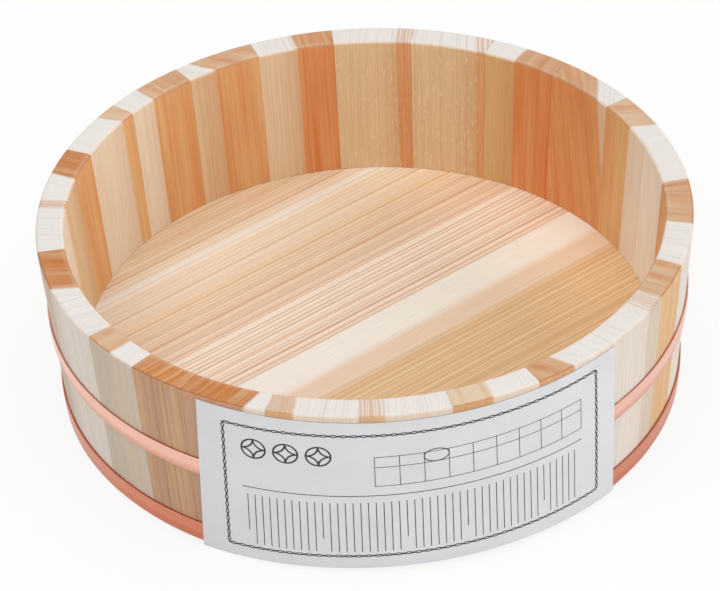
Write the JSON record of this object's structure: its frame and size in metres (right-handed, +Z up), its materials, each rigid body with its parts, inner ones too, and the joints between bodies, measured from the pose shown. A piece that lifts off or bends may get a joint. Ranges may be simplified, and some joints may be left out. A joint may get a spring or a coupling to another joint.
{
  "type": "sushi rice tub",
  "caption": "Round wooden staved tub with a flat bottom board set in a groove, held by flat copper hoops, with a paper label at the front.",
  "frame": {"origin": "on the tub's axis, at the floor it stands on", "axes": "+Z up along the tub's axis; -Y is the front, where the middle of the paper label is; +X is to the right seen from the front"},
  "size_m": [0.2698, 0.2702, 0.083],
  "materials": {
    "sapwood": "planed, unfinished",
    "heartwood": "planed, unfinished",
    "board_wood": "planed, unfinished",
    "bamboo": "split and shaved",
    "copper": "bright rolled copper, satin",
    "paper": "uncoated, matt"
  },
  "bodies": {
    "root": {"stave_01": "sapwood", "stave_02": "sapwood", "stave_03": "heartwood", "stave_04": "heartwood", "stave_05": "sapwood", "stave_06": "sapwood", "stave_07": "sapwood", "stave_08": "sapwood", "stave_09": "sapwood", "stave_10": "heartwood", "stave_11": "sapwood", "stave_12": "sapwood", "stave_13": "sapwood", "stave_14": "heartwood", "stave_15": "heartwood", "stave_16": "sapwood", "stave_17": "sapwood", "stave_18": "heartwood", "stave_19": "heartwood", "stave_20": "heartwood", "stave_21": "sapwood", "stave_22": "heartwood", "stave_23": "sapwood", "stave_24": "heartwood", "stave_peg_01": "bamboo", "stave_peg_02": "bamboo", "stave_peg_03": "bamboo", "stave_peg_04": "bamboo", "stave_peg_05": "bamboo", "stave_peg_06": "bamboo", "stave_peg_07": "bamboo", "stave_peg_08": "bamboo", "stave_peg_09": "bamboo", "stave_peg_10": "bamboo", "stave_peg_11": "bamboo", "stave_peg_12": "bamboo", "stave_peg_13": "bamboo", "stave_peg_14": "bamboo", "stave_peg_15": "bamboo", "stave_peg_16": "bamboo", "stave_peg_17": "bamboo", "stave_peg_18": "bamboo", "stave_peg_19": "bamboo", "stave_peg_20": "bamboo", "stave_peg_21": "bamboo", "stave_peg_22": "bamboo", "stave_peg_23": "bamboo", "stave_peg_24": "bamboo", "bottom_plank_1": "board_wood", "bottom_plank_2": "board_wood", "bottom_plank_3": "board_wood", "plank_peg_01": "bamboo", "plank_peg_02": "bamboo", "plank_peg_03": "bamboo", "plank_peg_04": "bamboo", "upper_hoop": "copper", "lower_hoop": "copper", "paper_label": "paper"}
  },
  "joints": []
}
